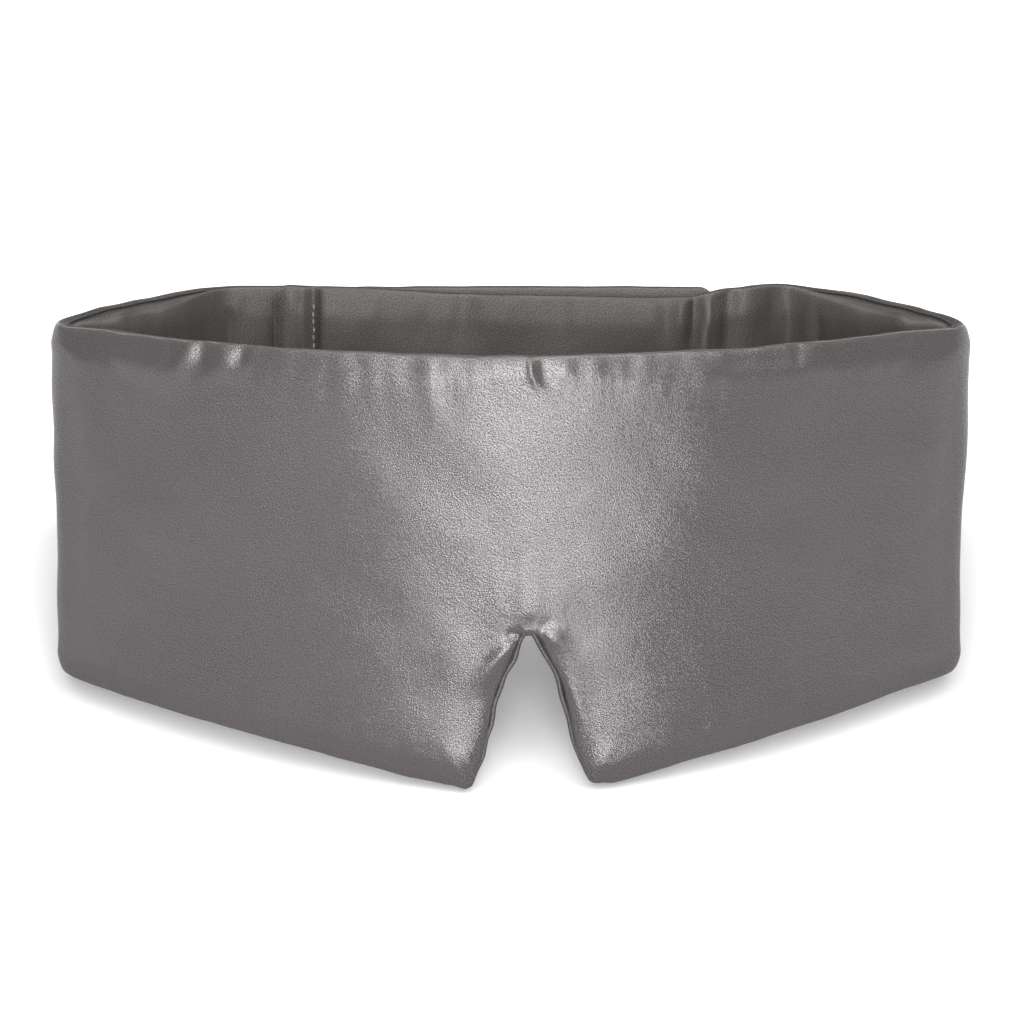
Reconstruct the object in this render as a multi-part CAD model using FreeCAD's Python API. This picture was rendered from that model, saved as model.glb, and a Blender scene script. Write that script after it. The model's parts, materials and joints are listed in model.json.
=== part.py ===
"""Wrap-around satin sleep mask: a padded front panel with a nose notch, and two padded straps that
overlap behind the head and close with hook-and-loop tape.

Every layer follows one plan path, the middle surface of the band. s is the length along that path
from the middle of the front panel, positive towards +X, and n is the distance outwards from it.
The mask is built upright with z = 0 at its lobes, then leant back until it stands on its two lobes
and on its rear hem. Units are millimetres and degrees.
"""
import FreeCAD, Part
import math
import os

from FreeCAD import Vector

# ---------------------------------------------------------------- driving dimensions
MASK_HEIGHT = 122.0         # top edge above the lobes
FRONT_SAG = 42.0            # middle of the front panel, in front of the temple folds
FRONT_R = 196.0             # plan radius of the front panel
FRONT_HALF_TURN = 38.0      # turn of the path from the middle of the front to a temple fold
FOLD_R = 8.0                # plan radius of a temple fold
FOLD_TURN = 90.0
REAR_R = 20.0               # plan radius of the bend from a side to the rear
REAR_TURN = 52.0
OUTER_STRAP_Y = 55.3        # middle surfaces of the two rear straps
INNER_STRAP_Y = 46.5
SHOULDER_Y = 52.5           # the inner strap, before it dips behind the end of the outer one
DIP_R = 9.0                 # plan radius of the dip's two bends
OUTER_STRAP_END_X = 59.8
INNER_STRAP_END_X = -68.7

TEMPLE_RISE = 18.5          # hem height at the temples
TEMPLE_X = 124.0
REAR_RISE = 30.0            # hem height of the straps
REAR_HEM_X = 90.0           # where a side's rising hem reaches the height of the straps
STRAP_CORNER_R = 4.0

NOTCH_X = 5.0               # the front panel sits a little off the middle of the loop
NOTCH_TOP = 45.0
NOTCH_CROWN_R = 2.0
NOTCH_KNEE_X = 9.0          # half width and height where a notch side steepens
NOTCH_KNEE_Z = 29.0
NOTCH_SIDE_X = 13.2         # half width and height where a notch side meets the lobe's rounding
NOTCH_SIDE_Z = 8.5
LOBE_TIP_X = 22.0           # half distance between the lobes' lowest points
LOBE_SHARE_X = 0.32         # how far the lobe's rounding has gone sideways and down at its middle
LOBE_SHARE_Z = 0.74

FRONT_T = 8.9               # total thickness of the front panel
STRAP_T = 6.4               # total thickness of the sides and straps
FABRIC_T = 0.6              # satin with its seam allowance
BLACKOUT_T = 0.4
AIR = 0.1                   # gap that keeps two layers apart
PADDING_INSET = 0.2         # padding to cover, round the edge

FOLD_SLIT = 3.2             # slits between the bodies, measured along the path
REAR_SLIT = 3.8
FLAP_SLIT = 1.2
FLAP_X = -45.0              # where the closure flap bends
TAB_X = 18.0                # where the pull tab bends
LINK_X = 91.0               # rear bend axis, mirrored so that the straps stay parallel
LINK_Y = 49.3

HOOK_SPAN = (25.0, 54.0)
LOOP_SPAN = (-56.0, 61.0)
TAPE_T = 1.1
TAPE_MARGIN = 12.0          # tape edge to strap hem
STITCH_LONG = 1.9
STITCH_WIDE = 0.5
STITCH_PROUD = 0.35
STITCH_ROUND = 0.18
STITCH_PITCH = 2.7
STITCH_INSET = 1.8          # stitch line to tape edge
STITCH_GROOVE = (0.8, 0.4)  # width and depth of the dent that a row of stitches lies in
END_STITCH_INSET = 11.0     # the row across the inner strap, from the strap's end
END_STITCH_MARGIN = 2.0

FAR = 200.0                 # beyond every edge of the mask
OVERRUN = 1.0               # how far a cutter runs past what it cuts
TINY = 1e-6

# ---------------------------------------------------------------- derived dimensions
DIP_TURN = math.degrees(math.acos(1 - (SHOULDER_Y - INNER_STRAP_Y) / (2 * DIP_R)))
LOBE_BACK_Y = FRONT_T / 2 - FRONT_SAG + FRONT_R - math.sqrt(FRONT_R ** 2 - LOBE_TIP_X ** 2)
REAR_BACK_Y = OUTER_STRAP_Y + STRAP_T / 2
LEAN = math.degrees(math.atan2(REAR_RISE, REAR_BACK_Y - LOBE_BACK_Y))


# ---------------------------------------------------------------- plan path
def arc_step(heading, radius, turn):
    """Displacement along an arc, left-hand if radius and turn are positive, right-hand if both are
    negative."""
    h0, h1 = math.radians(heading), math.radians(heading + turn)
    return radius * (math.sin(h1) - math.sin(h0)), radius * (math.cos(h0) - math.cos(h1))


def half_path(rear_y, strap_end_x, dip_turn=0.0):
    """Legs from the middle of the front, past the +X temple, to the end of a strap that may dip
    inwards after the rear bend. Each leg is (start x, start y, heading, length, radius), with radius
    None for a line."""
    legs = []

    def add(length, radius, turn):
        x, y, heading = here
        legs.append((x, y, heading, length, radius))
        if radius:
            dx, dy = arc_step(heading, radius, turn)
        else:
            dx = length * math.cos(math.radians(heading))
            dy = length * math.sin(math.radians(heading))
        return x + dx, y + dy, heading + turn

    def arc(radius, turn):
        return add(radius * math.radians(turn), radius, turn)

    here = (0.0, -FRONT_SAG, 0.0)
    here = arc(FRONT_R, FRONT_HALF_TURN)
    here = arc(FOLD_R, FOLD_TURN)
    bend_rise = arc_step(here[2], REAR_R, REAR_TURN)[1]
    here = add((rear_y - here[1] - bend_rise) / math.sin(math.radians(here[2])), None, 0.0)
    here = arc(REAR_R, REAR_TURN)
    if dip_turn:
        here = arc(DIP_R, dip_turn)
        here = arc(-DIP_R, -dip_turn)
    add(here[0] - strap_end_x, None, 0.0)
    return legs


def leg_starts(legs):
    """Path length at the start of each leg, and at the end of the last."""
    starts = [0.0]
    for leg in legs:
        starts.append(starts[-1] + leg[3])
    return starts


RIGHT = half_path(SHOULDER_Y, INNER_STRAP_END_X, DIP_TURN)
LEFT = half_path(OUTER_STRAP_Y, -OUTER_STRAP_END_X)
RIGHT_STARTS = leg_starts(RIGHT)
LEFT_STARTS = leg_starts(LEFT)
TEMPLE_S = (RIGHT_STARTS[1] + RIGHT_STARTS[2]) / 2


def point(s, n):
    """Plan point at path length s, n outwards of the middle surface."""
    legs, starts, sign = (RIGHT, RIGHT_STARTS, 1) if s >= 0 else (LEFT, LEFT_STARTS, -1)
    index = max(i for i in range(len(legs)) if starts[i] <= abs(s) + TINY)
    x, y, heading, _, radius = legs[index]
    along = abs(s) - starts[index]
    if radius:
        turn = math.degrees(along / radius)
        dx, dy = arc_step(heading, radius, turn)
        heading += turn
    else:
        dx, dy = along * math.cos(math.radians(heading)), along * math.sin(math.radians(heading))
    h = math.radians(heading)
    return Vector(sign * (x + dx + n * math.sin(h)), y + dy - n * math.cos(h), 0)


def bend_length(legs, starts):
    """Path length of the point on the rear bend that is nearest to the link axis."""
    x, y, heading, _, radius = legs[3]
    h = math.radians(heading)
    centre_x, centre_y = x - radius * math.sin(h), y + radius * math.cos(h)
    facing = math.degrees(math.atan2(LINK_Y - centre_y, LINK_X - centre_x))
    return starts[3] + radius * math.radians(facing + 90 - heading)


def strap_length(x):
    """Path length where the left-hand strap, which bends back to -X, passes x."""
    return LEFT_STARTS[4] + x + LEFT[4][0]


# ---------------------------------------------------------------- building blocks
def offset_edges(stops, n):
    """Edges of the offset curve through the stops, each an arc or a line."""
    edges = []
    for a, b in zip(stops, stops[1:]):
        start, middle, end = point(a, n), point((a + b) / 2, n), point(b, n)
        if (middle - (start + end) * 0.5).Length < TINY:
            edges.append(Part.makeLine(start, end))
        else:
            edges.append(Part.Arc(start, middle, end).toShape())
    return edges


def strip(s0, s1, n0, n1):
    """Solid between two offsets of the path, taller than the mask."""
    joints = RIGHT_STARTS + [-u for u in LEFT_STARTS[1:]]
    stops = sorted([s0, s1] + [s for s in joints if s0 + TINY < s < s1 - TINY])
    caps = [Part.makeLine(point(s, n0), point(s, n1)) for s in (s0, s1)]
    edges = offset_edges(stops, n0) + offset_edges(stops, n1) + caps
    face = Part.Face(Part.Wire(Part.__sortEdges__(edges)))
    face.translate(Vector(0, 0, -FAR))
    return face.extrude(Vector(0, 0, 2 * FAR))


def slab(x0, x1, y0, y1, z0, z1):
    return Part.makeBox(x1 - x0, y1 - y0, z1 - z0, Vector(x0, y0, z0))


def prism(face, inset=0.0):
    """The outline, drawn in by inset, pushed through the whole mask along Y."""
    face = face.makeOffset2D(-inset) if inset else face.copy()
    face.translate(Vector(0, -FAR, 0))
    return face.extrude(Vector(0, 2 * FAR, 0))


# ---------------------------------------------------------------- outlines in x and z
def xz(x, z):
    return Vector(x, 0, z)


def outline(edges):
    return Part.Face(Part.Wire(Part.__sortEdges__(edges)))


def closed(points):
    return outline([Part.makeLine(a, b) for a, b in zip(points, points[1:] + points[:1])])


def front_outline():
    """Straight top, hem falling from the temples to two lobes, and the nose notch between them."""
    crown_z = NOTCH_TOP - NOTCH_CROWN_R
    bow_x = NOTCH_SIDE_X + LOBE_SHARE_X * (LOBE_TIP_X - NOTCH_SIDE_X)
    bow_z = NOTCH_SIDE_Z * (1 - LOBE_SHARE_Z)
    edges = [
        Part.makeLine(xz(-FAR, MASK_HEIGHT), xz(FAR, MASK_HEIGHT)),
        Part.Arc(xz(NOTCH_X - NOTCH_CROWN_R, crown_z), xz(NOTCH_X, NOTCH_TOP),
                 xz(NOTCH_X + NOTCH_CROWN_R, crown_z)).toShape(),
    ]
    for side in (-1, 1):
        knee = xz(NOTCH_X + side * NOTCH_KNEE_X, NOTCH_KNEE_Z)
        notch_end = xz(NOTCH_X + side * NOTCH_SIDE_X, NOTCH_SIDE_Z)
        bow = xz(NOTCH_X + side * bow_x, bow_z)
        tip = xz(NOTCH_X + side * LOBE_TIP_X, 0)
        temple = xz(side * TEMPLE_X, TEMPLE_RISE)
        beyond = xz(side * FAR, TEMPLE_RISE)
        edges += [
            Part.makeLine(xz(NOTCH_X + side * NOTCH_CROWN_R, crown_z), knee),
            Part.makeLine(knee, notch_end),
            Part.Arc(notch_end, bow, tip).toShape(),
            Part.makeLine(tip, temple),
            Part.makeLine(temple, beyond),
            Part.makeLine(beyond, xz(side * FAR, MASK_HEIGHT)),
        ]
    return outline(edges)


def side_outline():
    """The hem of a side rises from the temple to the straps."""
    return closed([
        xz(-FAR, MASK_HEIGHT), xz(-FAR, TEMPLE_RISE), xz(-TEMPLE_X, TEMPLE_RISE),
        xz(-REAR_HEM_X, REAR_RISE), xz(REAR_HEM_X, REAR_RISE),
        xz(TEMPLE_X, TEMPLE_RISE), xz(FAR, TEMPLE_RISE), xz(FAR, MASK_HEIGHT),
    ])


def strap_outline(end_x):
    """Straight band, from far away to two round corners at end_x."""
    out = math.copysign(1.0, end_x)
    far_x, bend_x = -out * FAR, end_x - out * STRAP_CORNER_R
    corner = STRAP_CORNER_R * (1 - math.sqrt(0.5))
    edges = [
        Part.makeLine(xz(far_x, REAR_RISE), xz(far_x, MASK_HEIGHT)),
        Part.makeLine(xz(end_x, REAR_RISE + STRAP_CORNER_R), xz(end_x, MASK_HEIGHT - STRAP_CORNER_R)),
    ]
    for hem, inward in ((REAR_RISE, 1), (MASK_HEIGHT, -1)):
        edges += [
            Part.makeLine(xz(far_x, hem), xz(bend_x, hem)),
            Part.Arc(xz(bend_x, hem), xz(end_x - out * corner, hem + inward * corner),
                     xz(end_x, hem + inward * STRAP_CORNER_R)).toShape(),
        ]
    return outline(edges)


# ---------------------------------------------------------------- fabric layers
def cover(face, s0, s1, thick, outward):
    """One satin cover: a face of the band and its half of the rim, open where the band goes on."""
    if outward:
        body = strip(s0, s1, AIR / 2, thick / 2)
        hollow = strip(s0 - OVERRUN, s1 + OVERRUN, AIR / 2 - OVERRUN, thick / 2 - FABRIC_T)
    else:
        body = strip(s0, s1, -thick / 2, -AIR / 2)
        hollow = strip(s0 - OVERRUN, s1 + OVERRUN, FABRIC_T - thick / 2, OVERRUN - AIR / 2)
    return body.common(prism(face)).cut(hollow.common(prism(face, FABRIC_T)))


def filling(face, s0, s1, n0, n1):
    return strip(s0, s1, n0, n1).common(prism(face, FABRIC_T + PADDING_INSET))


def band(face, s0, s1, thick, blackout):
    """The layers of one stretch of the band, by name."""
    layers = {
        "outer_shell": cover(face, s0, s1, thick, True),
        "lining": cover(face, s0, s1, thick, False),
    }
    inner, outer = FABRIC_T + AIR - thick / 2, thick / 2 - FABRIC_T - AIR
    if blackout:
        layers["blackout_layer"] = filling(face, s0, s1, inner, inner + BLACKOUT_T)
        inner += BLACKOUT_T + AIR
    layers["padding"] = filling(face, s0, s1, inner, outer)
    return layers


def fabric_nodes():
    front, side = front_outline(), side_outline()
    outer_strap, inner_strap = strap_outline(OUTER_STRAP_END_X), strap_outline(INNER_STRAP_END_X)
    fold, bend, crease = FOLD_SLIT / 2, REAR_SLIT / 2, FLAP_SLIT / 2
    left_bend, right_bend = bend_length(LEFT, LEFT_STARTS), bend_length(RIGHT, RIGHT_STARTS)
    flap, tab = strap_length(FLAP_X), strap_length(TAB_X)
    stretches = [
        ("front", front, fold - TEMPLE_S, TEMPLE_S - fold, FRONT_T, True),
        ("left_side", side, bend - left_bend, -TEMPLE_S - fold, STRAP_T, False),
        ("left_rear", outer_strap, crease - flap, -left_bend - bend, STRAP_T, False),
        ("left_flap", outer_strap, crease - tab, -flap - crease, STRAP_T, False),
        ("hook_tab", outer_strap, -LEFT_STARTS[-1], -tab - crease, STRAP_T, False),
        ("right_side", side, TEMPLE_S + fold, right_bend - bend, STRAP_T, False),
        ("right_rear", inner_strap, right_bend + bend, RIGHT_STARTS[-1], STRAP_T, False),
    ]
    nodes = {}
    for name, face, s0, s1, thick, blackout in stretches:
        for layer, shape in band(face, s0, s1, thick, blackout).items():
            nodes[f"{name}_{layer}"] = shape
    return nodes


# ---------------------------------------------------------------- stitches and tapes
def stitch(middle, upright, outward):
    """One stitch, a flat-bottomed bead that stands off a face towards +Y or -Y."""
    bead = slab(-STITCH_LONG / 2, STITCH_LONG / 2, 0, STITCH_PROUD, -STITCH_WIDE / 2, STITCH_WIDE / 2)
    top = [e for e in bead.Edges if e.Length > STITCH_LONG - TINY and e.BoundBox.YMin > TINY]
    bead = bead.makeFillet(STITCH_ROUND, top)
    if upright:
        bead.rotate(Vector(0, 0, 0), Vector(0, 1, 0), 90)
    if outward < 0:
        bead.rotate(Vector(0, 0, 0), Vector(0, 0, 1), 180)
    bead.translate(middle)
    return bead


def stitch_row(start, end, fixed, y, outward, upright):
    """Evenly spaced stitches from start to end: along z at x = fixed if upright, or along x at
    z = fixed."""
    count = int((end - start - STITCH_LONG) // STITCH_PITCH) + 1
    first = (start + end - (count - 1) * STITCH_PITCH) / 2
    row = []
    for i in range(count):
        at = first + i * STITCH_PITCH
        middle = Vector(fixed, y, at) if upright else Vector(at, y, fixed)
        row.append(stitch(middle, upright, outward))
    return row


def sewn_tape(span, back_y, outward):
    """A tape whose back lies at back_y, and the stitches in the dent round its face."""
    (x0, x1), (z0, z1) = span, (REAR_RISE + TAPE_MARGIN, MASK_HEIGHT - TAPE_MARGIN)
    width, depth = STITCH_GROOVE
    face_y, floor_y = back_y + outward * TAPE_T, back_y + outward * (TAPE_T - depth)
    near, away = STITCH_INSET - width / 2, STITCH_INSET + width / 2
    dent_y = sorted((floor_y, face_y))
    ring = slab(x0 + near, x1 - near, *dent_y, z0 + near, z1 - near)
    core = slab(x0 + away, x1 - away, *dent_y, z0 + away, z1 - away)
    body = slab(x0, x1, *sorted((back_y, face_y)), z0, z1).cut(ring.cut(core))

    left, right, low, high = (x0 + STITCH_INSET, x1 - STITCH_INSET,
                              z0 + STITCH_INSET, z1 - STITCH_INSET)
    stitches = []
    for z in (low, high):
        stitches += stitch_row(left, right, z, floor_y, outward, False)
    for x in (left, right):
        stitches += stitch_row(low + width, high - width, x, floor_y, outward, True)
    return body, Part.makeCompound(stitches)


def closure_nodes():
    """Hook tape under the tab, loop tape on the strap that it grips, and the row of stitches
    across the end of that strap."""
    hook, hook_stitches = sewn_tape(HOOK_SPAN, OUTER_STRAP_Y - STRAP_T / 2, -1)
    loop, loop_stitches = sewn_tape(LOOP_SPAN, INNER_STRAP_Y + STRAP_T / 2, 1)
    end_row = stitch_row(REAR_RISE + END_STITCH_MARGIN, MASK_HEIGHT - END_STITCH_MARGIN,
                         INNER_STRAP_END_X + END_STITCH_INSET, INNER_STRAP_Y - STRAP_T / 2, -1, True)
    return {
        "hook_tape": hook,
        "hook_tape_stitches": hook_stitches,
        "loop_tape": loop,
        "loop_tape_stitches": loop_stitches,
        "strap_end_stitches": Part.makeCompound(end_row),
    }


# ---------------------------------------------------------------- assembly
def stand(nodes):
    """Leans the upright mask back on to its rear hem, and puts the origin at the bottom centre of
    its bounding box."""
    for shape in nodes.values():
        shape.rotate(Vector(0, 0, 0), Vector(1, 0, 0), -LEAN)
    box = Part.makeCompound(list(nodes.values())).optimalBoundingBox(False)
    for shape in nodes.values():
        shape.translate(Vector(-box.Center.x, -box.Center.y, -box.ZMin))
    return box


def main():
    nodes = {**fabric_nodes(), **closure_nodes()}
    box = stand(nodes)
    os.makedirs("parts", exist_ok=True)
    for name, shape in nodes.items():
        shape.exportStep(f"parts/{name}.step")
        print(name, len(shape.Solids), "solids", round(shape.Volume), "mm3")
    print(f"lean {LEAN:.6f}, shift y {-box.Center.y:.6f}, shift z {-box.ZMin:.6f}")


main()
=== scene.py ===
"""Looks of the padded satin sleep mask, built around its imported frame.

The cloth is drawn on one chart of the band. s runs along its plan path, in mm from the middle of the
front and positive towards +X. z runs up the mask, in mm above the lobes. n is the distance outwards
from the band's middle surface. Each face of the band is a grid on that chart, and the two faces meet
in one seam all the way round.
"""
import json
import math

import bpy
import numpy as np
from mathutils import Matrix, Vector


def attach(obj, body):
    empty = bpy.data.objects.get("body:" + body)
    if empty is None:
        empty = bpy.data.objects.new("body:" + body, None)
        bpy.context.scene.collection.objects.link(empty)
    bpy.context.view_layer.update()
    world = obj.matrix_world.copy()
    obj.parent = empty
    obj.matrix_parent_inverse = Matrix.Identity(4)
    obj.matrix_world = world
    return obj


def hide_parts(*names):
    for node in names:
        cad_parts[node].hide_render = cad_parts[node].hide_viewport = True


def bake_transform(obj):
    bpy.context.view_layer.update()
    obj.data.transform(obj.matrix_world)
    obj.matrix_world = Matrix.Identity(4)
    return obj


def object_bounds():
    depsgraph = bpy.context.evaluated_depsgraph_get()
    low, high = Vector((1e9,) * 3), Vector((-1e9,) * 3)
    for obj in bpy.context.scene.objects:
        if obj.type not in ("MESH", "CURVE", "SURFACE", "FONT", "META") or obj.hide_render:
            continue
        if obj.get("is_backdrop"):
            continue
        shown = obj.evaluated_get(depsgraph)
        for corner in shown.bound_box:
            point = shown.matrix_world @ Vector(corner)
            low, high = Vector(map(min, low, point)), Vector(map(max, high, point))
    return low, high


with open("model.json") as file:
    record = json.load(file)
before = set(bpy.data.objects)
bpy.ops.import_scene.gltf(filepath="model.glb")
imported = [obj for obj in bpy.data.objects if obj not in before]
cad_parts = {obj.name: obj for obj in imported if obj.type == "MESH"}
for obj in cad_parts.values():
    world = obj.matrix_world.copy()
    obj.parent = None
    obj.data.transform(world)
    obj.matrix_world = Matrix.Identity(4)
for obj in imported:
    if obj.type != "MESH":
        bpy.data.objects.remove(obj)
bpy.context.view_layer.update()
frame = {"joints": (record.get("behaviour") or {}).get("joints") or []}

# ------ the frame's own dimensions, in mm
MASK_HEIGHT = 122.0
FRONT_SAG = 42.0
FRONT_R = 196.0
FRONT_HALF_TURN = 38.0
FOLD_R = 8.0
FOLD_TURN = 90.0
REAR_R = 20.0
REAR_TURN = 52.0
OUTER_STRAP_Y = 55.3
INNER_STRAP_Y = 46.5
SHOULDER_Y = 52.5
DIP_R = 9.0
OUTER_STRAP_END_X = 59.8
INNER_STRAP_END_X = -68.7
TEMPLE_RISE = 18.5
TEMPLE_X = 124.0
REAR_RISE = 30.0
REAR_HEM_X = 90.0
STRAP_CORNER_R = 4.0
STRAP_T = 6.4
NOTCH_X = 5.0
LOBE_TIP_X = 22.0
NOTCH_TOP = 45.0
NOTCH_LEFT = [               # half width and height, from the crown down to the left lobe
    (0, 45), (2.3, 45), (2.8, 41.6), (5, 36.4), (7.4, 31.4), (9.2, 27.6), (10, 22.3), (12.2, 12.5),
    (13.3, 7.8), (14.8, 3.4), (15.9, 0.5), (LOBE_TIP_X, 0)]
NOTCH_RIGHT = [              # the same for the right side, which slants from the crown
    (0, 45), (1.9, 45), (3.1, 42.6), (5.4, 37.4), (7.6, 33.4), (9.3, 29.2), (10.4, 23.2), (12.6, 14),
    (13.9, 9.2), (15.2, 5), (17.2, 1.7), (LOBE_TIP_X, 0)]
FLAP_X = -45.0
TAB_X = 18.0
TAPE_T = 1.1
TAPE_MARGIN = 12.0
HOOK_SPAN = (25.0, 54.0)
LOOP_SPAN = (-56.0, 61.0)
END_STITCH_INSET = 11.0

# ------ soft shape
FRONT_PUFF = (5.4, 5.2)      # half thickness outwards and inwards
SIDE_PUFF = (5.7, 4.0)
OUTER_STRAP_PUFF = (4.8, 3.2)
INNER_STRAP_PUFF = (3.2, 4.8)
EDGE_ROUND = 8.5             # how far from the seam the padding reaches its full thickness
SEAM_HALF_GAP = 0.2          # half the distance between the two cloths at the seam
SEAM_BEAD_R = 0.38
SEAM_SUNK = 0.35             # how deep the seam roll lies in the groove
NOTCH_BEAD_R = 0.8
EDGE_SQUARE = 2.2            # 2 is an elliptical edge, more is squarer
HEM_TUCK = 1.7               # how far the lower seam lies above the bottom of the cloth
OVERHANG_REACH = (1.8, 2.6)  # how far from the sunk seam each cloth bulges past it
NOTCH_BEAD_OUT = 0.7         # how far the seam roll round the notch stands out of the seam
PATH_SOFTENING = 2.5
MM = 0.001


# ------ helpers
def smooth_step(x, a, b):
    t = np.clip((x - a) / (b - a), 0, 1)
    return t * t * (3 - 2 * t)


def softened(values, step, width):
    """Gaussian smoothing of evenly spaced samples."""
    reach = int(math.ceil(3 * width / step))
    kernel = np.exp(-0.5 * (np.arange(-reach, reach + 1) * step / width) ** 2)
    padded = np.pad(values, reach, mode="reflect", reflect_type="odd")
    return np.convolve(padded, kernel / kernel.sum(), mode="valid")


def bell(x, width):
    """1 at 0, and soon 0 beyond the width."""
    return np.exp(-(x / width) ** 2)


def running(steps):
    """Length run at the start of each step and at the end."""
    return np.concatenate([[0.0], np.cumsum(steps)])


def unit(vectors):
    """Vectors scaled to length 1 along their last axis."""
    return vectors / np.maximum(np.linalg.norm(vectors, axis=-1, keepdims=True), 1e-12)


def placed(name, data):
    """A new object in the scene."""
    obj = bpy.data.objects.new(name, data)
    bpy.context.scene.collection.objects.link(obj)
    return obj


# ------ plan path
def arc_step(heading, radius, turn):
    h0, h1 = math.radians(heading), math.radians(heading + turn)
    return radius * (math.sin(h1) - math.sin(h0)), radius * (math.cos(h0) - math.cos(h1))


def half_path(rear_y, strap_end_x, dip_turn=0.0):
    """Legs from the middle of the front to the end of a strap, as in the CAD source."""
    legs = []
    x, y, heading = 0.0, -FRONT_SAG, 0.0
    dip = [(DIP_R, dip_turn), (-DIP_R, -dip_turn)] if dip_turn else []
    for radius, turn in [(FRONT_R, FRONT_HALF_TURN), (FOLD_R, FOLD_TURN), (None, 0.0),
                         (REAR_R, REAR_TURN), *dip, (None, 0.0)]:
        if radius:
            length = radius * math.radians(turn)
            dx, dy = arc_step(heading, radius, turn)
        else:
            length = x - strap_end_x
            if len(legs) == 2:
                bend_rise = arc_step(heading, REAR_R, REAR_TURN)[1]
                length = (rear_y - y - bend_rise) / math.sin(math.radians(heading))
            dx, dy = length * math.cos(math.radians(heading)), length * math.sin(math.radians(heading))
        legs.append((x, y, heading, length, radius))
        x, y, heading = x + dx, y + dy, heading + turn
    return legs


def place(legs, starts, u):
    """Plan point at length u along a half path; the last leg goes on beyond its end."""
    index = max(i for i in range(len(legs)) if starts[i] <= u)
    x, y, heading, _, radius = legs[index]
    along = u - starts[index]
    if radius:
        dx, dy = arc_step(heading, radius, math.degrees(along / radius))
    else:
        dx, dy = along * math.cos(math.radians(heading)), along * math.sin(math.radians(heading))
    return x + dx, y + dy


DIP_TURN = math.degrees(math.acos(1 - (SHOULDER_Y - INNER_STRAP_Y) / (2 * DIP_R)))
RIGHT = half_path(SHOULDER_Y, INNER_STRAP_END_X, DIP_TURN)
LEFT = half_path(OUTER_STRAP_Y, -OUTER_STRAP_END_X)
RIGHT_STARTS, LEFT_STARTS = (running([leg[3] for leg in legs]) for legs in (RIGHT, LEFT))
RIGHT_END, LEFT_END = RIGHT_STARTS[-1], -LEFT_STARTS[-1]
TEMPLE_S = (RIGHT_STARTS[1] + RIGHT_STARTS[2]) / 2
STITCH_S = RIGHT_END - END_STITCH_INSET


def strap_s(x):
    """s where the outer strap passes x."""
    return -(LEFT_STARTS[4] + x + LEFT[4][0])


def inner_strap_s(x):
    """s where the inner strap, past its dip, passes x."""
    return RIGHT_END - (x - INNER_STRAP_END_X)


PATH_STEP = 0.25
PATH_S = np.arange(LEFT_END - 30, RIGHT_END + 30, PATH_STEP)


def sampled_path():
    right = [place(RIGHT, RIGHT_STARTS, s) for s in PATH_S if s >= 0]
    left = [place(LEFT, LEFT_STARTS, -s) for s in PATH_S if s < 0]
    points = np.array([(-x, y) for x, y in left] + right)
    x = softened(points[:, 0], PATH_STEP, PATH_SOFTENING)
    y = softened(points[:, 1], PATH_STEP, PATH_SOFTENING)
    return x, y, np.gradient(x, PATH_STEP), np.gradient(y, PATH_STEP)


PATH = sampled_path()


def plan(s):
    """x, y and unit tangent at s."""
    x, y, tx, ty = (np.interp(s, PATH_S, values) for values in PATH)
    length = np.hypot(tx, ty)
    return x, y, tx / length, ty / length


def chart_point(s, n, z, along=0.0):
    """Mask coordinates of a chart point, as an array with a last axis of 3."""
    x, y, tx, ty = plan(s)
    n = n + camber(s, z)
    return np.stack(np.broadcast_arrays(x + along * tx + n * ty, y + along * ty - n * tx, z), -1)


# ------ mask coordinates to the frame
def frame_transform():
    """Matrix from upright mask coordinates in mm to the row frame in metres, from a joint."""
    joint = next(j for j in frame["joints"] if j["name"] == "left_temple_fold")
    up = Vector(joint["axis"])
    turn = Matrix.Rotation(-math.atan2(up.y, up.z), 4, "X")
    x, y = place(LEFT, LEFT_STARTS, TEMPLE_S)
    here = turn @ (Vector((-x, y, MASK_HEIGHT / 2)) * MM)
    return Matrix.Translation(Vector(joint["pos_m"]) - here) @ turn @ Matrix.Scale(MM, 4)


TO_FRAME = frame_transform()
TO_FRAME_ARRAY = np.array(TO_FRAME)


def in_frame(points):
    return points @ TO_FRAME_ARRAY[:3, :3].T + TO_FRAME_ARRAY[:3, 3]


# ------ outline on the chart
def notch_and_hem(x):
    """Height of the front panel's hem at x."""
    from_notch = np.abs(x - NOTCH_X)
    notch = np.where(x < NOTCH_X, np.interp(from_notch, *zip(*NOTCH_LEFT)),
                     np.interp(from_notch, *zip(*NOTCH_RIGHT)))
    tip = np.where(x > NOTCH_X, NOTCH_X + LOBE_TIP_X, LOBE_TIP_X - NOTCH_X)
    rise = TEMPLE_RISE * (np.abs(x) - tip) / (TEMPLE_X - tip)
    return np.where(from_notch > LOBE_TIP_X, rise, notch)


def hem(s):
    """Height of the lower seam at s."""
    x = plan(s)[0]
    side = np.interp(np.abs(x), (REAR_HEM_X, TEMPLE_X), (REAR_RISE, TEMPLE_RISE))
    beyond = np.abs(s) > (RIGHT_STARTS[4] + RIGHT_STARTS[3]) / 2
    side = np.where(beyond, REAR_RISE, side)
    height = np.where(np.abs(s) < TEMPLE_S, notch_and_hem(x), side)
    return height + end_rounding(s)


def end_rounding(s):
    """How far the round corners of the strap ends draw the seams together at s."""
    from_end = np.clip(np.minimum(RIGHT_END - s, s - LEFT_END), 0, STRAP_CORNER_R)
    return STRAP_CORNER_R - np.sqrt(STRAP_CORNER_R ** 2 - (STRAP_CORNER_R - from_end) ** 2)


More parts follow.
